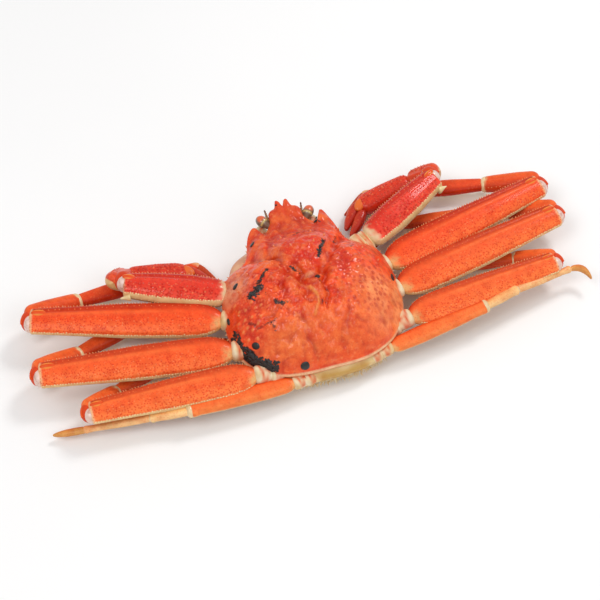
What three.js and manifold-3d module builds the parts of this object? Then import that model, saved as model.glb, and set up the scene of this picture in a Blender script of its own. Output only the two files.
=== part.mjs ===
// Boiled snow crab, whole, lying on its belly with every limb folded beside it, as it is served.
// Millimetres. +X is the crab's right side, +Y its front, +Z up, and it rests on z = 0.
import * as THREE from "three";
import { mergeVertices } from "three/addons/utils/BufferGeometryUtils.js";
import Module from "manifold-3d";

// Carapace: the width sets the outline, the heights set the dome and how far the front is raised.
const CARAPACE_WIDTH = 140;
const REAR_EDGE_HEIGHT = 24;
const FRONT_RISE_PER_MM = 0.13;
const SIDE_EDGE_DROP = 6;
const DOME_HEIGHT = 33;
const DOME_CENTRE_Y = -2;
const FRONT_FLATTENING = 0.62;
const FRONT_SLOPE = { from: 12, to: 66 };
const BODY_SIDES = 52;

// Half outline from the notch between the rostral spikes round to the middle of the rear edge, as
// [distance from the midline, distance forward] in half widths of the carapace.
const FRONT_TEETH = [
  [0, 1.12],
  [0.05, 1.24],
  [0.15, 1.08],
  [0.2, 0.95],
  [0.28, 0.87],
  [0.42, 1.01],
];
const SIDE_AND_REAR = [
  [0.52, 0.76],
  [0.56, 0.62],
  [0.62, 0.53],
  [0.75, 0.46],
  [0.88, 0.38],
  [0.96, 0.2],
  [1.0, -0.08],
  [0.985, -0.33],
  [0.92, -0.53],
  [0.72, -0.78],
  [0.4, -0.93],
  [0, -0.96],
];
const BLUNT_FRONT = [
  [0, 1.0],
  [0.2, 0.96],
  [0.4, 0.88],
];

// Rings of the body from the margin up over the dome, as [share of the outline, share of the dome's
// height], and down to the flat spot it rests on, as [share of the outline, share of the edge height].
const DOME_RINGS = [
  [0.97, 0.2],
  [0.88, 0.46],
  [0.74, 0.7],
  [0.56, 0.87],
  [0.34, 0.97],
];
const BELLY_RINGS = [
  [0.96, 0.82],
  [0.84, 0.5],
  [0.66, 0.16],
  [0.46, 0],
];

const EYE = { root: [13, 62, 39], tip: [22, 75, 40], width: 9 };

// Sections of a limb segment: [share of the length, share of the width].
const PROFILES = {
  basis: [[0, 0.8], [0.5, 1], [1, 0.9]],
  merus: [
    [0, 0.34],
    [0.03, 0.6],
    [0.09, 0.84],
    [0.18, 0.97],
    [0.32, 1],
    [0.55, 0.95],
    [0.78, 0.81],
    [0.95, 0.69],
    [1, 0.52],
  ],
  clawMerus: [
    [0, 0.6],
    [0.05, 0.86],
    [0.18, 0.98],
    [0.5, 1],
    [0.9, 0.86],
    [1, 0.66],
  ],
  knee: [[0, 0.8], [0.3, 1], [0.7, 0.9], [0.92, 0.62], [1, 0.35]],
  carpus: [[0, 0.62], [0.12, 0.86], [0.45, 1], [0.85, 0.94], [1, 0.7]],
  propodus: [[0, 0.55], [0.08, 0.8], [0.3, 1], [0.65, 0.9], [0.93, 0.6], [1, 0.42]],
  palm: [[0, 0.5], [0.12, 0.8], [0.5, 0.96], [0.85, 1], [1, 0.7]],
  point: [[0, 0.75], [0.15, 1], [0.5, 0.72], [0.85, 0.38], [1, 0.12]],
};

// Limb pairs from the claws back. A segment is [length, width, thickness]. Each side then has the
// place where the limb leaves the body, as [outward, forward, up], and the basis' and every other
// segment's own [angle forward of straight outward, angle upward] in degrees. The knee of a folded
// limb carries the carpus past the end of the merus, by [outward, forward]. A hook bows the last
// segment forward by so much, and its ends draw together by as much.
const LIMB_PAIRS = [
  {
    knee: [10, 2],
    claw: true,
    basis: [8, 20, 14],
    segments: {
      clawMerus: [82, 26, 17],
      carpus: [29, 20, 15],
      palm: [50, 20, 15],
    },
    right: { root: [53, 34.5, 29], basis: [22, 12], angles: [[31, 3], [152, -37], [-166, -7]] },
    left: { root: [55, 15.5, 28], basis: [14, 12], angles: [[19, 4], [124, -42], [-171, -7]] },
  },
  {
    knee: [7.5, 5],
    basis: [16, 17, 14],
    segments: {
      merus: [150, 29, 14],
      carpus: [47, 17, 13],
      propodus: [104, 15, 10],
      point: [27, 8, 6],
    },
    right: {
      root: [55, 11, 23],
      basis: [15, 12],
      angles: [[15, 1], [153.5, -20], [168, -3], [-147, -4]],
    },
    left: {
      root: [58, -6.5, 23],
      basis: [15, 12],
      angles: [[14.8, 1], [161, -20], [174, -3], [-125, -4]],
    },
  },
  {
    knee: [7.5, 5],
    basis: [16, 17, 14],
    segments: {
      merus: [149, 28.5, 14],
      carpus: [42, 17, 13],
      propodus: [98, 15, 10],
      point: [34, 8, 6],
    },
    right: {
      root: [57, -13, 22],
      basis: [11, 14],
      angles: [[12.5, 1], [150, -22], [170, -3], [-144, -4]],
    },
    left: {
      root: [57, -34, 22],
      basis: [7, 14],
      angles: [[6.6, 1], [156, -22], [159, -3], [-165, -4]],
    },
  },
  {
    knee: [6.5, 4],
    basis: [16, 15, 13],
    segments: {
      merus: [129, 25.5, 13],
      carpus: [35, 15, 12],
      propodus: [85, 13, 9],
      point: [30, 7, 6],
    },
    right: {
      root: [57, -40, 19],
      basis: [7, 20],
      angles: [[7.5, 1], [147, -24], [170, -3], [-160, -4]],
    },
    left: {
      root: [46, -57, 19],
      basis: [0, 20],
      angles: [[0, 1], [145, -25], [158.5, -3], [-165, -4]],
    },
  },
  {
    basis: [13, 11, 10],
    segments: {
      merus: [84, 14, 10],
      carpus: [32, 8.5, 7.5],
      propodus: [52, 7, 6],
      point: [25, 6, 5],
    },
    right: {
      root: [37, -59.4, 16],
      basis: [8, 8],
      angles: [[8.6, 4.5], [14.3, 2.5], [12.2, -6], [-36, -12]],
      hook: 5.5,
    },
    left: {
      root: [21, -66, 16],
      basis: [-14, 8],
      angles: [[-2, 1], [8, -6], [8, -7], [9, -8]],
    },
  },
];

const LIMB_SIDES = 8;
const MERUS_ROLL = 12;
const FINGER = { length: 27, width: 9, thickness: 8, spread: 4, bend: 37 };
const SQUARENESS = 2.4;

const SHELL_COLOUR = 0xe2572b;
const SHELL_ROUGHNESS = 0.45;

const UP = new THREE.Vector3(0, 0, 1);
const degrees = THREE.MathUtils.degToRad;

const wasm = await Module();
wasm.setup();

// Joins rings of points, and a point before the first and after the last, into one closed body.
function loft(rings, first, last) {
  const sides = rings[0].length;
  const points = [...rings.flat(), first, last];
  const firstIndex = points.length - 2;
  const lastIndex = points.length - 1;
  const index = [];
  for (let ring = 0; ring < rings.length - 1; ring += 1) {
    for (let side = 0; side < sides; side += 1) {
      const next = (side + 1) % sides;
      const a = ring * sides + side;
      const b = ring * sides + next;
      index.push(a, b, b + sides, a, b + sides, a + sides);
    }
  }
  const lastRing = (rings.length - 1) * sides;
  for (let side = 0; side < sides; side += 1) {
    const next = (side + 1) % sides;
    index.push(firstIndex, next, side);
    index.push(lastIndex, lastRing + side, lastRing + next);
  }
  const geometry = new THREE.BufferGeometry().setFromPoints(points);
  geometry.setIndex(index);
  return geometry;
}

function solid(geometry) {
  const merged = mergeVertices(geometry);
  const mesh = new wasm.Mesh({
    numProp: 3,
    vertProperties: merged.attributes.position.array,
    triVerts: new Uint32Array(merged.getIndex().array),
  });
  return new wasm.Manifold(mesh);
}

// The same shape on the other side of the midline.
function mirrored(geometry) {
  const index = [...geometry.getIndex().array];
  for (let corner = 0; corner < index.length; corner += 3) {
    [index[corner], index[corner + 1]] = [index[corner + 1], index[corner]];
  }
  const other = geometry.clone().scale(-1, 1, 1);
  other.setIndex(index);
  return other;
}

function direction([forward, upward]) {
  const level = Math.cos(degrees(upward));
  return new THREE.Vector3(
    level * Math.cos(degrees(forward)),
    level * Math.sin(degrees(forward)),
    Math.sin(degrees(upward)),
  );
}

// One superellipse section: across is the wide axis, through the thin one.
function section(centre, across, through, halfWidth, halfThickness, sides) {
  const ring = [];
  for (let side = 0; side < sides; side += 1) {
    const angle = (2 * Math.PI * side) / sides;
    const c = Math.cos(angle);
    const s = Math.sin(angle);
    const u = Math.sign(c) * Math.abs(c) ** (2 / SQUARENESS) * halfWidth;
    const v = Math.sign(s) * Math.abs(s) ** (2 / SQUARENESS) * halfThickness;
    ring.push(centre.clone().addScaledVector(across, u).addScaledVector(through, v));
  }
  return ring;
}

// A limb segment. Its wide face looks up, rolled backwards by roll degrees, and its middle is bowed
// forward.
function segment(start, axis, size, profile, { roll = 0, bow = 0 } = {}) {
  const [length, width, thickness] = size;
  const across = new THREE.Vector3().crossVectors(UP, axis).normalize();
  const through = new THREE.Vector3().crossVectors(axis, across);
  across.applyAxisAngle(axis, degrees(roll));
  through.applyAxisAngle(axis, degrees(roll));
  const rings = profile.map(([along, share]) => {
    const bend = bow * (1 - (2 * along - 1) ** 2);
    const centre = start.clone().addScaledVector(axis, along * length).addScaledVector(across, bend);
    const halfThickness = (share ** 0.7 * thickness) / 2;
    return section(centre, across, through, (share * width) / 2, halfThickness, LIMB_SIDES);
  });
  const end = start.clone().addScaledVector(axis, length);
  return loft(rings, start, end);
}

// The two fingers that end a claw, side by side and nearly closed.
function fingers(start, axis) {
  const side = new THREE.Vector3().crossVectors(axis, UP).normalize();
  const size = [FINGER.length, FINGER.width, FINGER.thickness];
  const lower = start.clone().addScaledVector(side, FINGER.spread);
  const upper = start.clone().addScaledVector(side, -FINGER.spread);
  const turned = axis.clone().applyAxisAngle(UP, degrees(FINGER.bend));
  return [
    segment(lower, turned, size, PROFILES.point),
    segment(upper, turned, size, PROFILES.point),
  ];
}

// The rounded knee at the end of a folded limb's merus, and where the carpus starts from it.
function knee(end, axis, [, width, thickness], [outward, forward]) {
  const front = new THREE.Vector3().crossVectors(UP, axis).normalize();
  const joint = end.clone().addScaledVector(axis, outward).addScaledVector(front, forward);
  const start = end.clone().addScaledVector(axis, -outward);
  const reach = joint.clone().sub(start);
  const size = [reach.length() * 1.15, width * 0.68, thickness * 0.95];
  return { joint, shape: segment(start, reach.normalize(), size, PROFILES.knee) };
}

// One limb of the right-hand side as closed shapes, from its basis out to its tip.
function limb(pair, pose) {
  const root = new THREE.Vector3(...pose.root);
  const basisAxis = direction(pose.basis);
  const shapes = [segment(root, basisAxis, pair.basis, PROFILES.basis)];
  const lastOrder = pose.angles.length - 1;
  let joint = root.clone().addScaledVector(basisAxis, pair.basis[0] * 0.8);
  let axis = basisAxis;
  Object.entries(pair.segments).forEach(([name, size], order) => {
    axis = direction(pose.angles[order]);
    const roll = order === 0 ? MERUS_ROLL : 0;
    const bow = order === lastOrder ? (pose.hook ?? 0) : 0;
    const [length, ...girth] = size;
    shapes.push(segment(joint, axis, [length - bow, ...girth], PROFILES[name], { roll, bow }));
    joint = joint.clone().addScaledVector(axis, length * 0.97);
    if (order === 0 && pair.knee) {
      const bent = knee(joint, axis, size, pair.knee);
      shapes.push(bent.shape);
      joint = bent.joint;
    }
  });
  return pair.claw ? [...shapes, ...fingers(joint, axis)] : shapes;
}

// Height of the carapace's edge, which rises to the front and hangs lower at the sides.
function edgeHeight(x, y) {
  const half = CARAPACE_WIDTH / 2;
  const rise = FRONT_RISE_PER_MM * (y + half);
  return REAR_EDGE_HEIGHT + rise - SIDE_EDGE_DROP * (x / half) ** 2;
}

// Closed outline through [outward, forward] points of the right half, read at even angles round the
// dome's centre.
function outline(halfPoints) {
  const half = CARAPACE_WIDTH / 2;
  const right = halfPoints.map(([x, y]) => new THREE.Vector3(x * half, y * half, 0));
  const left = right.slice(1, -1).reverse().map((p) => new THREE.Vector3(-p.x, p.y, 0));
  const curve = new THREE.CatmullRomCurve3([...right, ...left], true, "centripetal");
  const fine = curve.getPoints(BODY_SIDES * 16);
  const bearing = (p) => Math.atan2(p.y - DOME_CENTRE_Y, p.x);
  return Array.from({ length: BODY_SIDES }, (_, side) => {
    const angle = (2 * Math.PI * (side + 0.5)) / BODY_SIDES - Math.PI;
    const gap = (p) => Math.abs(bearing(p) - angle);
    return fine.reduce((best, p) => (gap(p) < gap(best) ? p : best));
  });
}

// The body: carapace dome above the edge, side walls and belly below it.
function body() {
  const toothed = outline([...FRONT_TEETH, ...SIDE_AND_REAR]);
  const blunt = outline([...BLUNT_FRONT, ...SIDE_AND_REAR]);
  const place = (p, share, height) =>
    new THREE.Vector3(p.x * share, DOME_CENTRE_Y + (p.y - DOME_CENTRE_Y) * share, height);
  const edge = toothed.map((p) => place(p, 1, edgeHeight(p.x, p.y)));
  const dome = DOME_RINGS.map(([share, rise]) =>
    blunt.map((p) => {
      const centreHeight = edgeHeight(0, DOME_CENTRE_Y);
      const base = THREE.MathUtils.lerp(centreHeight, edgeHeight(p.x, p.y), share);
      const y = DOME_CENTRE_Y + (p.y - DOME_CENTRE_Y) * share;
      const slope = THREE.MathUtils.smoothstep(y, FRONT_SLOPE.from, FRONT_SLOPE.to);
      return place(p, share, base + rise * DOME_HEIGHT * (1 - FRONT_FLATTENING * slope));
    }),
  );
  const belly = BELLY_RINGS.map(([share, rise]) =>
    blunt.map((p) => place(p, share, rise * edgeHeight(p.x, p.y))),
  );
  const apex = new THREE.Vector3(0, DOME_CENTRE_Y, edgeHeight(0, DOME_CENTRE_Y) + DOME_HEIGHT);
  const base = new THREE.Vector3(0, DOME_CENTRE_Y, 0);
  return loft([...belly.reverse(), edge, ...dome], base, apex);
}

function eye() {
  const root = new THREE.Vector3(...EYE.root);
  const reach = new THREE.Vector3(...EYE.tip).sub(root);
  const size = [reach.length(), EYE.width, EYE.width];
  return segment(root, reach.normalize(), size, [[0, 0.6], [0.35, 0.7], [0.6, 1], [0.85, 0.9], [1, 0.5]]);
}

function wholeCrab() {
  const right = [eye(), ...LIMB_PAIRS.flatMap((pair) => limb(pair, pair.right))];
  const left = [eye(), ...LIMB_PAIRS.flatMap((pair) => limb(pair, pair.left))].map(mirrored);
  const parts = [...right, ...left].map(solid);
  return parts.reduce((joined, part) => joined.add(part), solid(body()));
}

function geometryOf(made) {
  const mesh = made.getMesh();
  const geometry = new THREE.BufferGeometry();
  geometry.setAttribute("position", new THREE.BufferAttribute(mesh.vertProperties, mesh.numProp));
  geometry.setIndex(new THREE.BufferAttribute(mesh.triVerts, 1));
  return geometry;
}

const geometry = geometryOf(wholeCrab());
geometry.computeBoundingBox();
const box = geometry.boundingBox;
const centre = box.getCenter(new THREE.Vector3());
geometry.translate(-centre.x, -centre.y, -box.min.z);

const crab = new THREE.Mesh(
  geometry,
  new THREE.MeshStandardMaterial({ color: SHELL_COLOUR, roughness: SHELL_ROUGHNESS, metalness: 0 }),
);
crab.name = "crab";

const group = new THREE.Group();
group.add(crab);
export default group;
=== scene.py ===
"""Boiled snow crab, whole, lying on its belly with its limbs folded beside it, in soft studio light."""

import math

import bpy
import numpy as np
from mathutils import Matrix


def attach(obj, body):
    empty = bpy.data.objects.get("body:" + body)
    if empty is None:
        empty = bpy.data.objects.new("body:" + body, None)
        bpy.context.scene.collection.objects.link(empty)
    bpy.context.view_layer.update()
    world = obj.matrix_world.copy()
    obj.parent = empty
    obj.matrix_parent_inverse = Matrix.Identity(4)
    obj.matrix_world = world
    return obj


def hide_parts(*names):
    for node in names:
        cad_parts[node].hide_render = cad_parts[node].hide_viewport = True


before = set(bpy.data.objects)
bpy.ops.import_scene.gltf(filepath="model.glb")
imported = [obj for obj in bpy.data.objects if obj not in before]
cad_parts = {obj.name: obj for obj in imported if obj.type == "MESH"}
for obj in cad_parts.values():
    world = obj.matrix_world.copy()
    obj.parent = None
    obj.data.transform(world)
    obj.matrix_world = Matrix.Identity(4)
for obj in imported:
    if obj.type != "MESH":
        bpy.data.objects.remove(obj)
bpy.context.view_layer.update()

# ---------------------------------------------------------------- sizes, in millimetres
MM = 0.001
SHIFT = np.array([0.54, -12.924, 0.0])  # the body's middle, seen from the middle of the outline box
CARAPACE_WIDTH = 140.0
HALF = CARAPACE_WIDTH / 2
REAR_EDGE_HEIGHT = 24.0
FRONT_RISE_PER_MM = 0.13
SIDE_EDGE_DROP = 6.0
DOME_HEIGHT = 31.0
DOME_CENTRE_Y = -2.0
FRONT_FLATTENING = 0.62
FRONT_SLOPE = (12.0, 66.0)  # from and to how far forward the dome runs down to the rostrum

# Half outlines as [distance from the midline, distance forward] in half widths of the carapace.
FRONT_TEETH = [
    (0, 1.13), (0.03, 1.2), (0.065, 1.215), (0.1, 1.12), (0.15, 1.1), (0.185, 1.06), (0.2, 0.95),
    (0.27, 0.87), (0.34, 0.87), (0.385, 0.98), (0.425, 0.985), (0.475, 0.88),
]
SIDE_AND_REAR = [
    (0.52, 0.76), (0.56, 0.62), (0.62, 0.53), (0.75, 0.46), (0.88, 0.38), (0.96, 0.2), (1.0, -0.08),
    (0.985, -0.33), (0.92, -0.53), (0.72, -0.78), (0.4, -0.93), (0, -0.96),
]
WALL_FRONT = [(0, 0.9), (0.3, 0.86), (0.58, 0.68), (0.8, 0.46)]
WALL_REAR = [(0.93, 0.2), (0.965, -0.1), (0.9, -0.5), (0.72, -0.79), (0.42, -0.975), (0, -1.02)]
BLUNT_FRONT = [(0, 1.0), (0.2, 0.96), (0.4, 0.88)]

# Low swellings of the carapace: (across, forward, spread across, spread forward, height).
SWELLINGS = [
    (-2, 24, 18, 17, 6.2),
    (11, 33, 8, 9, 1.6),
    (-12, 33, 8, 9, 1.6),
    (40, -6, 17, 22, 5.6),
    (-40, -6, 17, 22, 5.6),
    (18, -18, 8, 13, 2.6),
    (-17, -18, 8, 13, 2.6),
    (30, -38, 15, 12, 1.6),
    (-30, -38, 15, 12, 1.6),
    (0, -30, 6, 9, 1.6),
    (0, -52, 9, 8, 1.4),
    (31, 44, 7, 9, 1.4),
    (-31, 44, 7, 9, 1.4),
]
# Grooves of the right half, mirrored to the left: (points, depth, half width).
GROOVES = [
    ([(0, -5), (8, -3), (13, 4), (20, 14), (29, 26), (38, 36)], 4.4, 4.0),
    ([(8, -4), (8, -14), (5, -25), (2, -35)], 2.8, 3.0),
    ([(22, -34), (19, -40), (14, -47), (12, -57)], 1.5, 2.5),
    ([(24, -45), (33, -51), (42, -54)], 1.2, 2.4),
    ([(24, 16), (23, 28), (21, 42)], 1.2, 2.6),
    ([(8, 44), (9, 56), (11, 68)], 0.9, 2.2),
]
GROOVE_WOBBLE = 3.4
RELIEF = [(9.0, 1.2, 71), (4.2, 0.65, 72), (2.3, 0.36, 73)]  # lump size, height, seed
CRUMPLED = (-12, -8, 34, 26)  # field where the relief is twice as strong: its middle and its spreads

# Where the animal is lopsided: (bearing in degrees, spread in degrees, share added to the outline).
LOPSIDED = [(-140, 26, 0.055), (111, 5, -0.05)]
LEFT_WALL_BULGE = (136, 13, 0.09)
# The pale raised seam beside the heart region.
SEAM = [(-18, -7), (-14.5, -11.5), (-5, -16), (-1, -24), (-1, -29), (-6.5, -37)]
SEAM_RADIUS = 1.4
SEAM_HEIGHT = 1.4
# Pale knobs near the left edge, as (across, forward).
KNOBS = [
    (-59.5, -11.5), (-60.5, -27.5), (-58.5, -35), (-52, -22), (-55, -14), (-57, -20), (-62, -19),
    (-50, -12), (-54, -31), (-48, -17), (-46, -26), (-61, -4), (-52, -38), (-44, -18), (-57, -27),
    (-49, -29),
]
KNOB_RADIUS = 1.4
KNOB_HEIGHT = 0.9

# Fields of colour: (across, forward, spread across, spread forward, colour, strength).
REGIONS = [
    (-46, -8, 24, 26, 0xF8501E, 0.75),
    (36, 2, 28, 24, 0xF8481C, 0.7),
    (-6, 24, 27, 22, 0xE02A06, 1.0),
    (0, 62, 40, 20, 0xCC4416, 0.75),
    (-58, 12, 12, 14, 0xE8A078, 0.85),
    (-26, 21, 9, 12, 0xEC6E2A, 0.7),
    (0, -50, 48, 17, 0xEE6A30, 0.85),
    (-30, -47, 20, 12, 0xF07C3C, 0.6),
    (54, -31, 25, 22, 0xFF9C60, 1.0),
    (28, -44, 15, 9, 0xF5602E, 0.5),
    (1, -16, 6, 9, 0xC2441E, 0.65),
    (-1, -4.5, 4.5, 2.6, 0xF8C490, 0.9),
    # a painted highlight on the right slope of the gastric swelling
    (14, 8, 4.0, 8.0, 0xF38A66, 0.5),
]

QUIET_FIELD = (54, -31, 25, 22)  # where there is hardly any blush

AROUND = 560
DOME_STEPS = 116
TUBERCLE_AREA = (68, 62)  # half its width and half its length
TUBERCLE_SPACING = 4.8
TUBERCLE_HEIGHT = 0.75
TUBERCLE_REACH = 4.0  # beyond this a tubercle adds nothing
LEFT_KIND = 8.0  # left of this the tubercles are pale with dark rings, and right of it dark

EYE_ROOT = (13.0, 62.0, 39.0)
EYE_TIP = (22.0, 75.0, 40.0)
EYE_WIDTH = 9.0
FEELER_ROOT = (13.5, 68.0, 37.0)
FEELER_DIRECTION = (0.12, 0.85, 0.5)
FEELER_RINGS = 7

# Plates over the mouth on the right side: (top, bottom, width).
MOUTH_PLATES = [
    ((6.5, 63.5, 29), (6.5, 58, 12), 11),
    ((7.0, 58.5, 13), (7.0, 47, 5), 12),
    ((15.5, 61.5, 27), (14.5, 55.5, 10), 6.5),
]
MOUTH_PLATE_THICKNESS = 5.0

# Plates of the folded tail flap: (how far forward, width, length); the last ones rise up the rear wall.
FLAP_PLATES = [
    (-62, 40, 7.5), (-53, 37, 9), (-43, 33, 9.5), (-33, 28, 9.5), (-22, 22, 10), (-10, 16, 11), (3, 11, 12),
]
FLAP_THICKNESS = 2.4
# Breast plates of both sides: (how far forward, how far they reach outward).
BREAST_PLATES = [(30, 15), (10, 24), (-8, 30), (-26, 30), (-43, 25)]

# The hairs of the rear wall: bearings, heights as shares of the edge's, and lengths.
FRINGE_BEARINGS = (-150, -30)
FRINGE_LEVELS = (0.6, 0.48)
HAIR_LENGTH = (1.2, 3.4)

LIMB_PAIRS = [
    {
        "knee": (10, 2),
        "basis": (8, 20, 14),
        "segments": [("clawMerus", 82, 26, 17), ("clawCarpus", 29, 20, 15), ("palm", 50, 20, 15)],
        "right": ((53, 34.5, 29), (22, 12), [(31, 3), (152, -37), (-166, -7)]),
        "left": ((55, 15.5, 28), (14, 12), [(19, 4), (124, -42), (-171, -7)]),
    },
    {
        "knee": (7.5, 5),
        "warmth": 0.12,
        "basis": (16, 17, 14),
        "segments": [
            ("merus", 150, 29, 14), ("carpus", 47, 17, 13), ("propodus", 104, 15, 10), ("point", 27, 8, 6),
        ],
        "right": ((55, 11, 23), (15, 12), [(15, 1), (153.5, -20), (168, -3), (-147, -4)]),
        "left": ((58, -6.5, 23), (15, 12), [(14.8, 1), (161, -20), (174, -3), (-125, -4)]),
    },
    {
        "knee": (7.5, 5),
        "warmth": 0.42,
        "basis": (16, 17, 14),
        "segments": [
            ("merus", 149, 28.5, 14), ("carpus", 42, 17, 13), ("propodus", 98, 15, 10), ("point", 34, 8, 6),
        ],
        "right": ((57, -13, 22), (11, 14), [(12.5, 1), (150, -22), (170, -3), (-144, -4)]),
        "left": ((57, -34, 22), (7, 14), [(6.6, 1), (156, -22), (159, -3), (-165, -4)]),
    },
    {
        "knee": (6.5, 4),
        "warmth": 0.62,
        "basis": (16, 15, 13),
        "segments": [
            ("merus", 129, 25.5, 13), ("carpus", 35, 15, 12), ("propodus", 85, 13, 9), ("point", 30, 7, 6),
        ],
        "right": ((57, -40, 19), (7, 20), [(7.5, 1), (147, -24), (170, -3), (-160, -4)]),
        "left": ((46, -57, 19), (0, 20), [(0, 1), (145, -25), (158.5, -3), (-165, -4)]),
    },
    {
        "basis": (13, 11, 10),
        "segments": [
            ("thinMerus", 84, 14, 10), ("thinCarpus", 32, 8.5, 7.5), ("thinPropodus", 52, 7, 6),
            ("thinPoint", 25, 6, 5),
        ],
        "right": ((37, -59.4, 16), (8, 8), [(8.6, 4.5), (14.3, 2.5), (12.2, -6), (-36, -12)]),
        "left": ((21, -66, 16), (-14, 8), [(-2, 1), (8, -6), (8, -7), (9, -8)]),
    },
]
MERUS_ROLL = 12.0
LAST_LEG_HOOK = 5.5  # how far the tip of the right last leg is bowed forward
FINGER_BEND = 37.0
PAIR_NAMES = ["claw", "leg_1", "leg_2", "leg_3", "leg_4"]

# Each segment's width along it, then how much of it is rounded off at its start and at its end.
SEGMENT_FORMS = {
    "basis": ([(0, 0.85), (0.5, 1), (1, 0.95)], 0.2, 0.2),
    "merus": ([(0, 0.88), (0.22, 1), (0.5, 0.97), (0.8, 0.8), (1, 0.7)], 0.15, 0.015),
    "clawMerus": ([(0, 0.76), (0.14, 0.9), (0.35, 1), (0.65, 0.95), (1, 0.74)], 0.1, 0.03),
    "carpus": ([(0, 0.95), (0.4, 1), (0.8, 0.9), (1, 0.82)], 0.16, 0.05),
    "clawCarpus": ([(0, 0.95), (0.5, 1), (1, 0.85)], 0.25, 0.14),
    "propodus": ([(0, 0.72), (0.3, 1), (0.65, 0.9), (1, 0.52)], 0.05, 0.04),
    "palm": ([(0, 0.72), (0.5, 0.96), (0.8, 1), (1, 0.8)], 0.14, 0.12),
    "finger": ([(0, 0.9), (0.35, 1), (0.7, 0.8), (1, 0.34)], 0.1, 0.06),
    "point": ([(0, 0.92), (0.2, 1), (0.6, 0.66), (1, 0.16)], 0.06, 0.04),
    "thinMerus": ([(0, 0.85), (0.3, 1), (0.7, 0.9), (0.92, 0.74), (1, 0.86)], 0.12, 0.04),
    "thinCarpus": ([(0, 0.8), (0.5, 0.95), (0.85, 0.86), (1, 1.06)], 0.1, 0.06),
    "thinPropodus": ([(0, 0.9), (0.4, 0.95), (0.85, 0.7), (1, 0.92)], 0.06, 0.05),
    "thinPoint": ([(0, 0.88), (0.25, 1), (0.6, 0.94), (0.85, 0.64), (1, 0.26)], 0.08, 0.05),
}
# Ridges and grooves on top of a segment: (where across, from -1 at its rear to 1 at its front, half
# width, height, from and to where along it they grow).
WHOLE = (-1, 0)
MERUS_RIDGES = [(0.62, 0.11, -1.1, (0.2, 0.5)), (0.36, 0.13, 0.7, (0.15, 0.4)), (-0.82, 0.1, 0.5, WHOLE)]
CARPUS_RIDGES = [(0.3, 0.14, 0.7, WHOLE), (-0.15, 0.14, -0.5, WHOLE)]
RIDGES = {
    "merus": MERUS_RIDGES, "clawMerus": MERUS_RIDGES, "carpus": CARPUS_RIDGES, "clawCarpus": CARPUS_RIDGES,
}
SQUARENESS = 2.3
ALONG_STEP = 1.0
AROUND_STEP = 0.85


def colour(code):
    """A linear colour from an sRGB code."""
    parts = np.array([(code >> 16) & 255, (code >> 8) & 255, code & 255]) / 255
    return np.where(parts <= 0.04045, parts / 12.92, ((parts + 0.055) / 1.055) ** 2.4)


ORANGE = colour(0xFF8742)
PALE_ORANGE = colour(0xEE9258)
CRIMSON = colour(0xD2412C)
ROSE = colour(0xE8604A)
CREAM = colour(0xE9C68C)
TAN = colour(0xBE8247)
BLACK = 0x0E0A09

rng = np.random.default_rng(7)


# ---------------------------------------------------------------- numbers
def smoothstep(low, high, x):
    """0 below low, 1 above high and smooth between them. Low may be the larger one."""
    t = np.clip((x - low) / (high - low), 0, 1)
    return t * t * (3 - 2 * t)


def hill(x, middle, spread):
    """1 at the middle, falling off smoothly to both sides."""
    return np.exp(-(((x - middle) / spread) ** 2))


def field(x, y, middle_x, middle_y, spread_x, spread_y):
    """1 over an oval patch, falling off steeply at its border."""
    return np.exp(-(((x - middle_x) / spread_x) ** 4) - ((y - middle_y) / spread_y) ** 4)


def flat_points(x, y):
    """Points at height 0."""
    return np.stack([x, y, np.zeros_like(x)], -1)


def mix(a, b, t):
    """Blends colours a and b by t, which may be an array."""
    t = np.asarray(t)[..., None]
    return np.asarray(a) * (1 - t) + np.asarray(b) * t


def painted(tint, marks):
    """A colour with marks laid over it in order, each as (colour code, amount)."""
    for code, amount in marks:
        tint = mix(tint, colour(code), amount)
    return tint


def unit(v):
    """v at length 1."""
    v = np.asarray(v, float)
    return v / np.linalg.norm(v)


def turned(v, axis, angle):
    """v turned about axis by an angle in degrees."""
    a = math.radians(angle)
    return v * math.cos(a) + np.cross(axis, v) * math.sin(a) + axis * np.dot(axis, v) * (1 - math.cos(a))


NOISE_TABLE = 4096
NOISE_PRIMES = (73856093, 19349663, 83492791)  # spread the cells of the lattice over the table


def lattice_noise(points, size, seed):
    """Smooth noise from -1 to 1 with lumps of about the given size."""
    table = np.random.default_rng(seed).uniform(-1, 1, NOISE_TABLE)
    p = np.asarray(points, float) / size
    cell = np.floor(p).astype(int)
    part = p - cell
    part = part * part * (3 - 2 * part)
    total = np.zeros(len(p))
    for corner in np.ndindex(2, 2, 2):
        at = cell + corner
        key = np.bitwise_xor.reduce(at * NOISE_PRIMES, axis=1)
        weight = np.prod(np.where(corner, part, 1 - part), axis=1)
        total += weight * table[key % len(table)]
    return total


def spline(points, count):
    """A smooth closed curve through points, with count samples from each point to the next."""
    p = np.asarray(points, float)
    n = len(p)
    t = np.linspace(0, 1, count, endpoint=False)[:, None]
    start_weight = 2 * t**3 - 3 * t**2 + 1
    out = []
    for i in range(n):
        before, start, end, after = p[i - 1], p[i], p[(i + 1) % n], p[(i + 2) % n]
        reach = np.linalg.norm(end - start)
        leaving = (end - before) * reach / (np.linalg.norm(start - before) + reach)
        arriving = (after - start) * reach / (np.linalg.norm(after - end) + reach)
        bends = (t**3 - 2 * t**2 + t) * leaving, (t**3 - t**2) * arriving
        out.append(start_weight * start + bends[0] + (1 - start_weight) * end + bends[1])
    return np.vstack(out)


def line_distance(x, y, points):
    """Distance from each x, y to a broken line."""
    best = np.full(x.shape, np.inf)
    for (x0, y0), (x1, y1) in zip(points, points[1:]):
        dx, dy = x1 - x0, y1 - y0
        t = np.clip(((x - x0) * dx + (y - y0) * dy) / (dx * dx + dy * dy), 0, 1)
        best = np.minimum(best, np.hypot(x - x0 - t * dx, y - y0 - t * dy))
    return best


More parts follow.
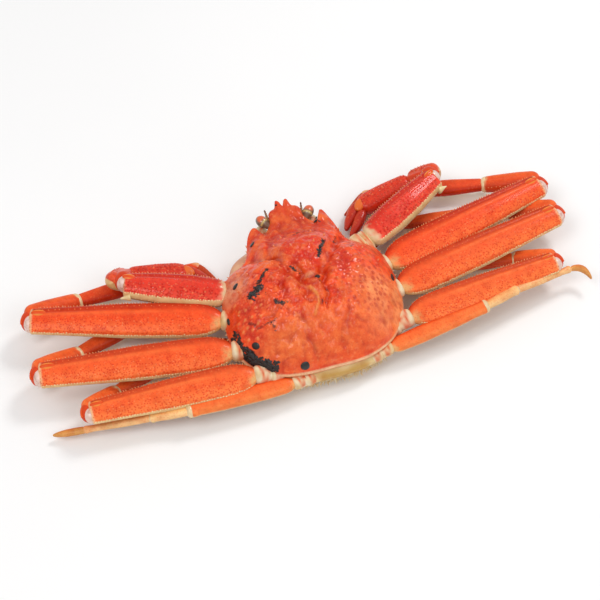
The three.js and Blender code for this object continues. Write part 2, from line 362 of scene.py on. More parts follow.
# ---------------------------------------------------------------- meshes
class Shape:
    """Points, faces, a colour and a grain at each point, in millimetres about the body's middle."""

    def __init__(self):
        self.points, self.colours, self.grains, self.quads, self.tris = [], [], [], [], []
        self.count = 0

    def add(self, points, colours, quads, tris, grain):
        """Adds points with their colours and grain, and the faces between them."""
        self.points.append(points)
        self.colours.append(colours)
        self.grains.append(np.broadcast_to(grain, len(points)))
        self.quads.append(quads + self.count)
        self.tris.append(tris + self.count)
        self.count += len(points)

    def join(self, other):
        """Takes in another shape."""
        self.points += other.points
        self.colours += other.colours
        self.grains += other.grains
        self.quads += [q + self.count for q in other.quads]
        self.tris += [t + self.count for t in other.tris]
        self.count += other.count

    def mirror(self):
        """The same shape on the other side of the body."""
        flipped = Shape()
        flipped.points = [p * (-1, 1, 1) for p in self.points]
        flipped.colours, flipped.grains = list(self.colours), list(self.grains)
        flipped.quads = [q[:, ::-1] for q in self.quads]
        flipped.tris = [t[:, ::-1] for t in self.tris]
        flipped.count = self.count
        return flipped

    def both_sides(self):
        """The shape and its mirror image in one."""
        pair = Shape()
        pair.join(self)
        pair.join(self.mirror())
        return pair


def grid_quads(rows, columns):
    """Quads of rows of points that each close on themselves."""
    r, c = np.meshgrid(np.arange(rows - 1), np.arange(columns), indexing="ij")
    following = (c + 1) % columns
    corners = [(r, c), (r, following), (r + 1, following), (r + 1, c)]
    return np.stack([row * columns + column for row, column in corners], -1).reshape(-1, 4)


def add_tube(shape, rings, colours, grain=None):
    """Adds rings of points, closed at both ends by a fan to their middle."""
    rows, columns = rings.shape[:2]
    points = np.vstack([rings.reshape(-1, 3), rings[0].mean(0), rings[-1].mean(0)])
    tints = np.vstack([colours.reshape(-1, 3), colours[0].mean(0), colours[-1].mean(0)])
    side = np.arange(columns)
    following = (side + 1) % columns
    last_row = (rows - 1) * columns
    start_middle = np.full(columns, rows * columns)
    start_fan = np.stack([start_middle, following, side], -1)
    end_fan = np.stack([start_middle + 1, last_row + side, last_row + following], -1)
    grains = 0.0 if grain is None else np.concatenate([grain.ravel(), [0.0, 0.0]])
    shape.add(points, tints, grid_quads(rows, columns), np.vstack([start_fan, end_fan]), grains)


# Rings of a spine: (share of the way from its foot to its tip, share of its radius).
SPINE_RINGS = [(-0.25, 1.15), (0, 1), (0.35, 0.6), (0.75, 0.28), (0.97, 0.1)]
ASLANT = (0.31, 0.22, 0.92)  # a direction that no spine has


def add_cone(shape, foot, tip, radius, tint, tip_tint, sides=7):
    """A small round spine with a bent-in flank, from foot to tip."""
    axis = unit(np.asarray(tip) - foot)
    side = unit(np.cross(axis, ASLANT))
    other = np.cross(axis, side)
    rings, tints = [], []
    for along, share in SPINE_RINGS:
        angle = np.linspace(0, 2 * math.pi, sides, endpoint=False)
        offset = np.cos(angle)[:, None] * side + np.sin(angle)[:, None] * other
        rings.append(np.asarray(foot) + (np.asarray(tip) - foot) * along + offset * radius * share)
        tints.append(np.tile(mix(tint, tip_tint, np.clip(along, 0, 1)), (sides, 1)))
    add_tube(shape, np.array(rings), np.array(tints))


POLE_CAP = 0.06  # angle in radians that the end fans of a ball cover


def add_ball(shape, centre, axes, tint, rows=14, columns=20):
    """An ellipsoid. axes are its three half axes as vectors, and tint a colour or a function of points."""
    polar = np.linspace(POLE_CAP, math.pi - POLE_CAP, rows)[:, None, None]
    turn = np.linspace(0, 2 * math.pi, columns, endpoint=False)[None, :, None]
    a, b, c = (np.asarray(v, float) for v in axes)
    circle = np.cos(turn) * a + np.sin(turn) * b
    rings = np.asarray(centre) + np.sin(polar) * circle - np.cos(polar) * c
    tints = tint(rings) if callable(tint) else np.broadcast_to(tint, rings.shape)
    add_tube(shape, rings, np.array(tints))


def put(name, data):
    """An object for a camera, a lamp or a mesh, in the scene."""
    thing = bpy.data.objects.new(name, data)
    bpy.context.scene.collection.objects.link(thing)
    return thing


def make_mesh(name, shape):
    """A Blender mesh of a shape, with its colour and grain as the attribute that the materials read."""
    points = (np.vstack(shape.points) + SHIFT) * MM
    quads, tris = np.vstack(shape.quads), np.vstack(shape.tris)
    mesh = bpy.data.meshes.new(name)
    mesh.vertices.add(len(points))
    mesh.vertices.foreach_set("co", points.astype(np.float32).ravel())
    loops = np.concatenate([quads.ravel(), tris.ravel()]).astype(np.int32)
    mesh.loops.add(len(loops))
    mesh.loops.foreach_set("vertex_index", loops)
    sizes = np.concatenate([np.full(len(quads), 4), np.full(len(tris), 3)])
    starts = np.concatenate([[0], np.cumsum(sizes)[:-1]]).astype(np.int32)
    mesh.polygons.add(len(sizes))
    mesh.polygons.foreach_set("loop_start", starts)
    mesh.polygons.foreach_set("use_smooth", np.ones(len(sizes), bool))
    mesh.update(calc_edges=True)
    mesh.validate()
    tint = mesh.color_attributes.new("tint", "FLOAT_COLOR", "POINT")
    rgba = np.column_stack([np.vstack(shape.colours), np.concatenate(shape.grains)])
    tint.data.foreach_set("color", rgba.astype(np.float32).ravel())
    return mesh


def make_piece(name, shape, material):
    """A Blender object of a shape, riding with the crab and standing for its CAD solid."""
    mesh = make_mesh(name, shape)
    mesh.materials.append(material)
    piece = put(name, mesh)
    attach(piece, "root")
    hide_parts("crab")


# ---------------------------------------------------------------- materials
# Colours that a surface is multiplied by: shell blotches, granules of the shell, mottling of soft parts.
BLOTCH = (0.84, 0.55, 0.42)
GRANULE = (0.84, 0.36, 0.33)
MOTTLE = (0.82, 0.68, 0.58)
PALE_DOT = 0xF6A068
# How many lumps or dots there are in a metre.
BLOTCH_SCALE = 130
FINE_SCALE = 900
FLOOR_SCALE = 3
PALE_DOTS_SHARE = 0.62  # number of pale dots for each granule, along a line


def new_material(name):
    """A material with its nodes, its links and its shader."""
    material = bpy.data.materials.new(name)
    material.use_nodes = True
    nodes = material.node_tree.nodes
    return material, nodes, material.node_tree.links, nodes["Principled BSDF"]


def noise_node(nodes, links, where, scale, detail=3.0):
    """Smooth noise from 0 to 1."""
    node = nodes.new("ShaderNodeTexNoise")
    node.inputs["Scale"].default_value = scale
    node.inputs["Detail"].default_value = detail
    links.new(where, node.inputs["Vector"])
    return node.outputs["Fac"]


def ramp_node(nodes, links, value, low, high, start=0.0, end=1.0):
    """A value from low to high stretched to start to end."""
    node = nodes.new("ShaderNodeMapRange")
    node.inputs["From Min"].default_value = low
    node.inputs["From Max"].default_value = high
    node.inputs["To Min"].default_value = start
    node.inputs["To Max"].default_value = end
    links.new(value, node.inputs["Value"])
    return node.outputs["Result"]


def multiply_node(nodes, links, base, tint, amount):
    """Multiplies a colour by another as far as amount says."""
    node = nodes.new("ShaderNodeMix")
    node.data_type = "RGBA"
    node.blend_type = "MULTIPLY"
    links.new(amount, node.inputs["Factor"])
    links.new(base, node.inputs["A"])
    node.inputs["B"].default_value = (*tint, 1)
    return node.outputs["Result"]


def dots_node(nodes, links, where, scale):
    """How far each point is from the nearest of many scattered dots."""
    cells = nodes.new("ShaderNodeTexVoronoi")
    cells.inputs["Scale"].default_value = scale
    links.new(where, cells.inputs["Vector"])
    return cells.outputs["Distance"]


def times_node(nodes, links, a, b):
    """The product of two values."""
    node = nodes.new("ShaderNodeMath")
    node.operation = "MULTIPLY"
    links.new(a, node.inputs[0])
    links.new(b, node.inputs[1])
    return node.outputs["Value"]


def bump_node(nodes, links, height, strength, reach, normal=None):
    """A normal bent by a height. Its strength is a number or another node's value."""
    node = nodes.new("ShaderNodeBump")
    node.inputs["Distance"].default_value = reach
    if isinstance(strength, float):
        node.inputs["Strength"].default_value = strength
    else:
        links.new(strength, node.inputs["Strength"])
    links.new(height, node.inputs["Height"])
    if normal is not None:
        links.new(normal, node.inputs["Normal"])
    return node.outputs["Normal"]


def tint_node(nodes):
    """The painted colour and the grain of the mesh."""
    node = nodes.new("ShaderNodeAttribute")
    node.attribute_name = "tint"
    return node.outputs["Color"], node.outputs["Alpha"]


def shell_material(name, dot_scale, dot_reach, roughness, coat):
    """Boiled shell: its painted colour, blotches and, where it is grainy, dark red granules and pale dots."""
    material, nodes, links, shader = new_material(name)
    where = nodes.new("ShaderNodeTexCoord").outputs["Object"]
    tint, grain = tint_node(nodes)
    blotch = ramp_node(nodes, links, noise_node(nodes, links, where, BLOTCH_SCALE), 0.45, 0.7, 0, 0.5)
    base = multiply_node(nodes, links, tint, BLOTCH, blotch)
    dots = dots_node(nodes, links, where, dot_scale)
    dark = times_node(nodes, links, ramp_node(nodes, links, dots, 0.46, 0.24), grain)
    base = multiply_node(nodes, links, base, GRANULE, dark)
    specks = dots_node(nodes, links, where, dot_scale * PALE_DOTS_SHARE)
    specks = ramp_node(nodes, links, specks, 0.3, 0.12, 0, 0.4)
    pale = nodes.new("ShaderNodeMix")
    pale.data_type = "RGBA"
    pale.inputs["B"].default_value = (*colour(PALE_DOT), 1)
    links.new(times_node(nodes, links, specks, grain), pale.inputs["Factor"])
    links.new(base, pale.inputs["A"])
    links.new(pale.outputs["Result"], shader.inputs["Base Color"])
    fine = noise_node(nodes, links, where, FINE_SCALE, 2)
    rough = ramp_node(nodes, links, fine, 0.3, 0.7, roughness - 0.08, roughness + 0.1)
    links.new(rough, shader.inputs["Roughness"])
    shader.inputs["Specular IOR Level"].default_value = 0.16
    shader.inputs["Coat Weight"].default_value = coat
    shader.inputs["Coat Roughness"].default_value = 0.1
    domes = bump_node(nodes, links, ramp_node(nodes, links, dots, 0.5, 0.0), grain, dot_reach)
    links.new(bump_node(nodes, links, fine, 0.4, 0.0004, domes), shader.inputs["Normal"])
    return material


def soft_material(name, roughness, coat, scale, strength):
    """Wet skin, pale shell or an eye: its painted colour with a little mottling and grain."""
    material, nodes, links, shader = new_material(name)
    where = nodes.new("ShaderNodeTexCoord").outputs["Object"]
    mottle = noise_node(nodes, links, where, scale)
    amount = ramp_node(nodes, links, mottle, 0.45, 0.75, 0, 0.6)
    base = multiply_node(nodes, links, tint_node(nodes)[0], MOTTLE, amount)
    links.new(base, shader.inputs["Base Color"])
    rough = ramp_node(nodes, links, mottle, 0.3, 0.7, roughness - 0.07, roughness + 0.07)
    links.new(rough, shader.inputs["Roughness"])
    shader.inputs["Coat Weight"].default_value = coat
    shader.inputs["Coat Roughness"].default_value = 0.12
    height = noise_node(nodes, links, where, scale * 4, 2)
    links.new(bump_node(nodes, links, height, strength, 0.0005), shader.inputs["Normal"])
    return material


# ---------------------------------------------------------------- carapace
def edge_height(x, y):
    """Height of the carapace's edge."""
    return REAR_EDGE_HEIGHT + FRONT_RISE_PER_MM * (y + HALF) - SIDE_EDGE_DROP * (x / HALF) ** 2


def outline(half_points, extra=()):
    """A closed outline through half_points and their mirror, read at even angles round the middle."""
    right = np.array(half_points) * HALF
    left = right[1:-1][::-1] * (-1, 1)
    fine = spline(np.vstack([right, left]), 90)
    bearing = np.arctan2(fine[:, 1] - DOME_CENTRE_Y, fine[:, 0])
    radius = np.hypot(fine[:, 1] - DOME_CENTRE_Y, fine[:, 0])
    order = np.argsort(bearing)
    angle = np.linspace(-math.pi, math.pi, AROUND, endpoint=False)
    reach = np.interp(angle, bearing[order], radius[order], period=2 * math.pi)
    for middle, spread, more in [*LOPSIDED, *extra]:
        reach = reach * (1 + more * hill(np.degrees(angle), middle, spread))
    return np.stack([np.cos(angle) * reach, DOME_CENTRE_Y + np.sin(angle) * reach], -1)


def carapace_height(x, y, share):
    """Height of the carapace at share of the way from the middle to its edge."""
    dome = (1 - np.clip(share, 0, 1) ** 2.6) ** 0.8
    flat = 1 - FRONT_FLATTENING * smoothstep(*FRONT_SLOPE, y)
    centre = edge_height(0, DOME_CENTRE_Y)
    height = centre + (edge_height(x, y) - centre) * share + DOME_HEIGHT * dome * flat
    inside = smoothstep(1.0, 0.86, share)
    for cx, cy, sx, sy, rise in SWELLINGS:
        height = height + rise * inside * np.exp(-(((x - cx) / sx) ** 2) - ((y - cy) / sy) ** 2)
    for points, depth, width in GROOVES:
        height = height - depth * inside * hill(groove_distance(x, y, points), 0, width)
    crumpled = 1 + field(x, y, *CRUMPLED)
    for size, rise, seed in RELIEF:
        lumps = lattice_noise(flat_points(x, y), size, seed)
        height = height + rise * crumpled * smoothstep(1.0, 0.94, share) * lumps
    seam = hill(line_distance(x, y, SEAM), 0, SEAM_RADIUS)
    return height + SEAM_HEIGHT * seam + KNOB_HEIGHT * knobs(x, y)


def knobs(x, y):
    """How near each point is to the top of a knob, from 0 to 1."""
    away = [np.hypot(x - knob_x, y - knob_y) for knob_x, knob_y in KNOBS]
    return hill(np.minimum.reduce(away), 0, KNOB_RADIUS)


def groove_distance(x, y, points):
    """Distance to a groove of either half, whose line wanders a little."""
    aside = GROOVE_WOBBLE * lattice_noise(flat_points(x, y), 8, 74)
    return line_distance(np.abs(x + aside), y + 0.6 * aside, points)


BLUNT = outline(BLUNT_FRONT + SIDE_AND_REAR)
TOOTHED = outline(FRONT_TEETH + SIDE_AND_REAR)
WALL = outline(WALL_FRONT + WALL_REAR, [LEFT_WALL_BULGE])
MIDDLE = np.array([0, DOME_CENTRE_Y])
ANGLES = np.linspace(-math.pi, math.pi, AROUND, endpoint=False)


def share_at(x, y):
    """How far a point of the carapace lies from its middle to its edge."""
    bearing = np.arctan2(y - DOME_CENTRE_Y, x)
    reach = np.interp(bearing, ANGLES, np.hypot(*(BLUNT - MIDDLE).T), period=2 * math.pi)
    return np.hypot(x, y - DOME_CENTRE_Y) / reach


def surface_at(x, y):
    """Points of the carapace's top and its normals there."""
    x, y = np.atleast_1d(np.asarray(x, float)), np.atleast_1d(np.asarray(y, float))
    step = 0.6

    def height(px, py):
        return carapace_height(px, py, share_at(px, py))

    slope_x = (height(x + step, y) - height(x - step, y)) / (2 * step)
    slope_y = (height(x, y + step) - height(x, y - step)) / (2 * step)
    normal = np.stack([-slope_x, -slope_y, np.ones_like(x)], -1)
    normal /= np.linalg.norm(normal, axis=1, keepdims=True)
    return np.stack([x, y, height(x, y)], -1), normal


def tubercle_field(x, y):
    """How near each point is to the top of a tubercle, from 0 to 1."""
    field_height = np.zeros(len(x))
    half_width, half_length = TUBERCLE_AREA
    for row, row_y in enumerate(np.arange(-half_length, half_length, TUBERCLE_SPACING * 0.87)):
        near_row = np.abs(y - row_y) < TUBERCLE_REACH
        shift = (row % 2) * TUBERCLE_SPACING / 2
        for row_x in np.arange(-half_width, half_width, TUBERCLE_SPACING) + shift:
            middle_x, middle_y = row_x + rng.normal(0, 1.0), row_y + rng.normal(0, 1.0)
            radius = rng.uniform(0.9, 1.7)
            chosen = np.flatnonzero(near_row & (np.abs(x - middle_x) < TUBERCLE_REACH))
            away = (x[chosen] - middle_x) ** 2 + (y[chosen] - middle_y) ** 2
            field_height[chosen] = np.maximum(field_height[chosen], np.exp(-away / radius**2))
    return field_height


def rough_zone(x, y):
    """Where the carapace is rough with tubercles: the branchial regions on both sides."""
    return np.clip(field(np.abs(x), y, 33, -12, 26, 27) + 0.25, 0, 1)


def region_colours(points, broad, small):
    """Orange-red with the coloured regions, one of them a painted highlight, and the pale grooves."""
    x, y = points[:, 0], points[:, 1]
    tint = mix(colour(0xF24012), colour(0xFA5622), np.clip(0.5 + 0.6 * broad, 0, 1))
    for middle_x, middle_y, spread_x, spread_y, code, strength in REGIONS:
        near = field(x, y, middle_x, middle_y, spread_x, spread_y)
        tint = mix(tint, colour(code), np.clip(strength * near * (0.9 + 0.5 * small), 0, 1))
    for side, strength in ((-1, 0.5), (1, 0.2)):
        for line, _, width in GROOVES[:3]:
            groove = hill(groove_distance(x, y, line), 0, width * 0.45) * (x * side >= 0)
            tint = mix(tint, colour(0xEFA25E), strength * groove * (0.5 + 0.5 * small))
    return tint


def carapace_colours(points, share, tubercles, hollow_shading):
    """The colours of the regions, then marks from the seam and veins to the black of the growths, with
    painted shade in the hollows of the relief and a painted highlight on its rises.
    """
    x, y = points[:, 0], points[:, 1]
    broad, small = lattice_noise(points, 17, 1), lattice_noise(points, 5, 2)
    rough, left = rough_zone(x, y), x < LEFT_KIND
    veins = smoothstep(0.13, 0.0, np.abs(lattice_noise(points, 10, 6))) * smoothstep(-0.2, 0.4, broad)
    rings = np.where(left, hill(tubercles, 0.4, 0.24), smoothstep(0.2, 0.6, tubercles))
    tops = smoothstep(0.8, 1, tubercles) * np.where(left, 0.7, 0.15)
    calm = 1 - 0.85 * field(x, y, *QUIET_FIELD)
    blush = smoothstep(0.05, 0.6, lattice_noise(points, 7, 3)) * (0.4 + 0.6 * rough) * calm
    rim = smoothstep(0.985, 0.996, share) * smoothstep(-12, -40, y)
    marks = [
        (0xF6AC58, hill(line_distance(x, y, SEAM), 0, 1.1) * 0.75),
        (0xC0200C, veins * 0.5 * (x < 30)),
        (0xBE2009, rings * rough * 0.66),
        # lighter tubercle tops: partly their pale shell, partly a painted highlight
        (0xFB8E62, tops * rough),
        (0xCB240C, blush * 0.7),
        (0xFF7E38, smoothstep(0.1, 0.7, lattice_noise(points, 6, 10)) * 0.4),
        (0xFFA060, smoothstep(0.4, 0.7, lattice_noise(points, 1.7, 7)) * 0.3),
        (0xF6A860, smoothstep(0.3, 0.85, knobs(x, y)) * 0.5),
        # painted shade in the hollows of the relief, then a painted highlight on its rises
        (0xA81606, np.clip(hollow_shading * 0.55, 0, 0.5)),
        (0xFF8038, np.clip(-hollow_shading * 0.22, 0, 0.2)),
        (0xF3CE9E, rim * 0.9),
        (BLACK, stains(points, share)),
    ]
    return painted(region_colours(points, broad, small), marks) * (1 + 0.1 * small[:, None])


def stains(points, share):
    """How black the shell is: under the patches of growths, with ragged borders."""
    x, y = points[:, 0], points[:, 1]
    ragged = lattice_noise(points, 3.0, 8) + 0.9 * lattice_noise(points, 1.3, 9)
    amount = np.zeros(len(x))
    for line, half_width, _, _, solid in GROWTH_PATCHES:
        near = line_distance(x, y, line) - half_width
        amount = np.maximum(amount, solid * smoothstep(0.5, -0.4, near + 1.5 * ragged))
    (first, last), (inner, outer), _ = EDGE_PATCH
    bearing = np.degrees(np.arctan2(y - DOME_CENTRE_Y, x))
    along = smoothstep(first - 3, first + 6, bearing) * smoothstep(last + 3, last - 6, bearing)
    reach = inner + 0.03 * ragged + (1 - along) * 0.1
    edge = smoothstep(reach - 0.005, reach + 0.01, share) * smoothstep(outer, outer - 0.006, share)
    return np.maximum(amount, edge)


SMOOTHINGS = 70


def hollows(height):
    """How far each point of the dome's grid of heights lies below its surroundings."""
    smooth = height.copy()
    for _ in range(SMOOTHINGS):
        inward = np.vstack([smooth[:1], smooth[:-1]])
        outward = np.vstack([smooth[1:], smooth[-1:]])
        smooth = (smooth + inward + outward + np.roll(smooth, 1, 1) + np.roll(smooth, -1, 1)) / 5
    return smooth - height


def dome_rings():
    """The top of the carapace from its middle to its edge, and its colours."""
    shares = 1 - (1 - np.linspace(0.004, 1, DOME_STEPS)) ** 1.25
    rings, share_rings = [], []
    for share in shares:
        around = BLUNT + (TOOTHED - BLUNT) * smoothstep(0.8, 1, share)
        rings.append(MIDDLE + (around - MIDDLE) * share)
        share_rings.append(np.full(AROUND, share))
    flat = np.vstack(rings)
    share = np.concatenate(share_rings)
    x, y = flat.T
    tubercles = tubercle_field(x, y)
    height = carapace_height(x, y, share)
    calm = smoothstep(0.99, 0.93, share)
    # how far the dome lies below its surroundings, for the painted shade in its hollows and the painted
    # highlight on its rises
    hollow_shading = hollows(height.reshape(DOME_STEPS, AROUND)).ravel() * smoothstep(0.97, 0.9, share)
    height += TUBERCLE_HEIGHT * tubercles * rough_zone(x, y) * calm
    points = np.stack([x, y, height], -1)
    size = (DOME_STEPS, AROUND, 3)
    return points.reshape(size), carapace_colours(points, share, tubercles, hollow_shading).reshape(size)


LIP = TOOTHED + (WALL - TOOTHED) * 0.35
# Rings from the edge down to the belly: (outline, share of it, share of the edge's height, mm above that).
WALL_RINGS = [
    (TOOTHED, 1.003, 1.0, -0.7),
    (TOOTHED, 0.996, 1.0, -1.6),
    (TOOTHED, 0.975, 1.0, -2.4),
    (LIP, 0.96, 0.9, 0.0),
    (WALL, 0.985, 0.74, 0.0),
    (WALL, 0.99, 0.6, 0.0),
    (WALL, 0.95, 0.42, 0.0),
    (WALL, 0.85, 0.24, 0.0),
    (WALL, 0.7, 0.11, 0.0),
    (WALL, 0.52, 0.075, 0.0),
    (WALL, 0.3, 0.07, 0.0),
    (WALL, 0.04, 0.07, 0.0),
]
EDGE_RINGS = 3  # the first ones, which make the rolled edge
FIRST_SMOOTHED = 7  # the fine ring where the wall's smoothing starts
SEAMS_BETWEEN_LEGS = (24, 4, -17, -38, -55)


def wall_shape():
    """Fine rings of the rolled edge, the side walls and the belly under the carapace."""
    heights = edge_height(*TOOTHED.T)
    levels = []
    for around, share, lift, drop in WALL_RINGS:
        flat = MIDDLE + (around - MIDDLE) * share
        levels.append(np.column_stack([flat, heights * lift + drop]))
    fine = []
    for index, (above, below) in enumerate(zip(levels, levels[1:])):
        steps = 3 if index < EDGE_RINGS else 6
        for t in np.linspace(0, 1, steps, endpoint=False):
            fine.append(above * (1 - t) + below * t)
    fine = np.array([*fine, levels[-1]])
    for _ in range(2):
        middle = fine[FIRST_SMOOTHED:-1]
        above, below = fine[FIRST_SMOOTHED - 1 : -2], fine[FIRST_SMOOTHED + 1 :]
        fine[FIRST_SMOOTHED:-1] = (above + 2 * middle + below) / 4
    return fine


def wall_rings():
    """The rolled edge, the pale side walls and the belly under the carapace, and their colours."""
    fine = wall_shape()
    flat = fine.reshape(-1, 3)
    y = flat[:, 1]
    noise = lattice_noise(flat, 8, 5)
    down = np.repeat(np.linspace(0, 1, len(fine)), AROUND)
    rear = smoothstep(-30, -50, y)
    tint = mix(colour(0xE8B48C), colour(0xD08C6C), np.clip(0.5 + 0.7 * noise, 0, 1))
    tint = painted(tint, [(0xE6CFA6, smoothstep(0.45, 0.8, down))])
    rear_tint = mix(colour(0xE3C58A), colour(0xC79C52), np.clip(0.4 + noise, 0, 1))
    tint = mix(tint, rear_tint, rear * smoothstep(0.7, 0.4, down))
    tint = mix(tint, mix(colour(0xE8602C), colour(0xE58A58), rear), smoothstep(0.16, 0.08, down))
    for leg_y in SEAMS_BETWEEN_LEGS:
        seam = hill(y, leg_y, 1.3) * smoothstep(0.5, 0.7, down)
        fine[:, :, 2] += (seam * 1.2).reshape(fine.shape[:2])
        tint = painted(tint, [(0xB98A58, seam * 0.7)])
    return fine, tint.reshape(*fine.shape)


SPINY_EDGE = (-22, 52)  # from and to how far forward
EDGE_SPINE_SPACING = 3.9
BLUNT_SPINES = [(12, 40), (20, 31), (9, 22), (46, 14), (56, 4), (52, 22), (60, -14)]  # of the right half


def edge_spines(shape):
    """The small pale-tipped spines round the front and sides of the carapace."""
    rear, front = SPINY_EDGE
    length = np.cumsum(np.hypot(*np.diff(TOOTHED, axis=0, append=TOOTHED[:1]).T))
    for where in np.arange(0, length[-1], EDGE_SPINE_SPACING):
        at = int(np.searchsorted(length, where + rng.uniform(-0.5, 0.5))) % AROUND
        x, y = TOOTHED[at]
        if rear < y < front:
            out = unit(unit([*(TOOTHED[at] - MIDDLE), 0]) + (0, 0, 0.25))
            foot = np.array([x, y, edge_height(x, y) - 0.3]) - out * 0.5
            tip = foot + out * rng.uniform(1.6, 2.6)
            add_cone(shape, foot, tip, 1.0, colour(0xE2602F), colour(0xF4CF9A))


def carapace_spines(shape):
    """Short blunt spines scattered over the branchial and gastric regions."""
    for side in (-1, 1):
        for x, y in BLUNT_SPINES:
            (foot,), (normal,) = surface_at(side * x, y)
            tip = foot + normal * 1.7 + (0, 0.3, 0)
            add_cone(shape, foot - normal * 0.3, tip, 1.4, colour(0xDD4A22), colour(0xF29A62))


def make_carapace(material):
    """The dome, the walls under it and the spines, in one piece."""
    top, top_colours = dome_rings()
    wall, wall_colours = wall_rings()
    shape = Shape()
    rings = np.concatenate([top, wall])[::-1]
    grain = np.concatenate([np.full(top.shape[:2], 0.35), np.zeros(wall.shape[:2])])[::-1]
    add_tube(shape, rings, np.concatenate([top_colours, wall_colours])[::-1], grain)
    edge_spines(shape)
    carapace_spines(shape)
    make_piece("carapace", shape, material)


# ---------------------------------------------------------------- black growths on the carapace
# Single growths: (across, forward, half length, half width, turn in degrees).
GROWTHS = [
    (-33, 49, 3.3, 2.6, 80),
    (-56.5, 11, 3.2, 2.2, 20),
    (65.0, -7, 4.0, 2.6, 65),
    (3, -9.5, 3.0, 2.2, 70),
    (-22, -64, 4.0, 3.6, 0),
    (-54.5, -41, 3.5, 2.9, -35),
    (-68, -10, 3.0, 1.8, 80),
    (-5, 80, 1.0, 0.8, 0),
    (22, 58, 2.6, 0.7, 20),
    (24, 56, 2.8, 0.9, -60),
    (23, 61, 1.6, 0.6, 60),
]
# Patches of many small growths: (points of their middle line, half width, number, least and most size,
# how black the shell is under them).
GROWTH_PATCHES = [
    ([(-48, -7), (-42, -6)], 2.6, 34, (0.8, 1.8), 1.0),
    ([(-41, -1), (-35, 5), (-31, 8)], 1.0, 22, (0.6, 1.3), 0.95),
    ([(-33, -22), (-27, -25)], 1.6, 24, (0.5, 1.2), 0.8),
    ([(-13.5, 5.5), (-8, -1)], 0.8, 12, (0.5, 1.0), 0.85),
    ([(9, 9), (11, 13), (14, 18), (17, 23)], 0.9, 30, (0.7, 1.3), 1.0),
    ([(15, 19), (20, 25)], 0.2, 8, (0.5, 0.9), 0.8),
    ([(-54, -25), (-52, -29)], 0.8, 6, (0.3, 0.7), 0.55),
    ([(-50, -32), (-37, -34)], 0.9, 12, (0.3, 0.7), 0.45),
    ([(-40, -34), (-38, -40)], 0.7, 9, (0.4, 0.8), 0.8),
    ([(27, 27), (31, 34)], 0.4, 8, (0.3, 0.7), 0.6),
    ([(36, 13), (39, 16)], 0.6, 5, (0.3, 0.6), 0.6),
    ([(-2, 38), (3, 43)], 0.6, 7, (0.3, 0.7), 0.7),
    ([(4, -14), (8, -22)], 0.4, 6, (0.3, 0.6), 0.5),
    ([(1, -28), (3, -30)], 0.4, 4, (0.3, 0.6), 0.6),
]
# The ragged growth along the left rear edge: bearings in degrees, shares of the way to the edge, number.
EDGE_PATCH = ((-164, -126), (0.92, 0.99), 260)


def add_growth(shape, x, y, long_half, short_half, turn, height):
    """A low black mound on the carapace."""
    (point,), (normal,) = surface_at(x, y)
    side = unit(np.cross(normal, (0, 1, 0.01)))
    along = turned(side, normal, turn)
    across = np.cross(normal, along)
    axes = (along * long_half, across * short_half, normal * height)
    add_ball(shape, point, axes, colour(BLACK), rows=8, columns=14)


def scattered_growth(shape, x, y, size, width, height):
    """A growth of about the given size, turned at random."""
    add_growth(shape, x, y, size * rng.uniform(1, 1.8), size * width, rng.uniform(0, 180), size * height)


def make_growths(material):
    """The single growths, the patches of small ones and the ragged patch at the edge."""
    shape = Shape()
    for x, y, long_half, short_half, turn in GROWTHS:
        add_growth(shape, x, y, long_half, short_half, turn, 0.9)
    for line, half_width, number, (least, most), _ in GROWTH_PATCHES:
        line = np.array(line, float)
        for _ in range(2 * number):
            place = rng.uniform(0, len(line) - 1)
            part = int(place)
            spot = line[part] + (line[part + 1] - line[part]) * (place - part)
            spot = spot + rng.normal(0, half_width * 0.8, 2)
            size = least * 0.6 + (most * 0.85 - least * 0.6) * rng.beta(1.0, 2.2)
            scattered_growth(shape, *spot, size, 0.7, 0.35)
    (first, last), (inner, outer), number = EDGE_PATCH
    for _ in range(number):
        bearing = math.radians(rng.uniform(first, last))
        at = int((bearing + math.pi) / (2 * math.pi) * AROUND) % AROUND
        share = outer - 0.01 - (outer - inner) * rng.beta(1.0, 1.6)
        spot = MIDDLE + (BLUNT[at] - MIDDLE) * share
        scattered_growth(shape, *spot, rng.uniform(0.5, 1.5), 0.8, 0.4)
    make_piece("black_growths", shape, material)


# ---------------------------------------------------------------- limbs
def smooth_profile(keys, t):
    """The keyed profile read at t, with its corners rounded."""
    fine = np.linspace(-0.2, 1.2, 281)
    values = np.interp(fine, *zip(*keys))
    window = np.hanning(31)
    soft = np.convolve(np.pad(values, 15, mode="edge"), window / window.sum(), mode="valid")
    return np.interp(t, fine, soft)


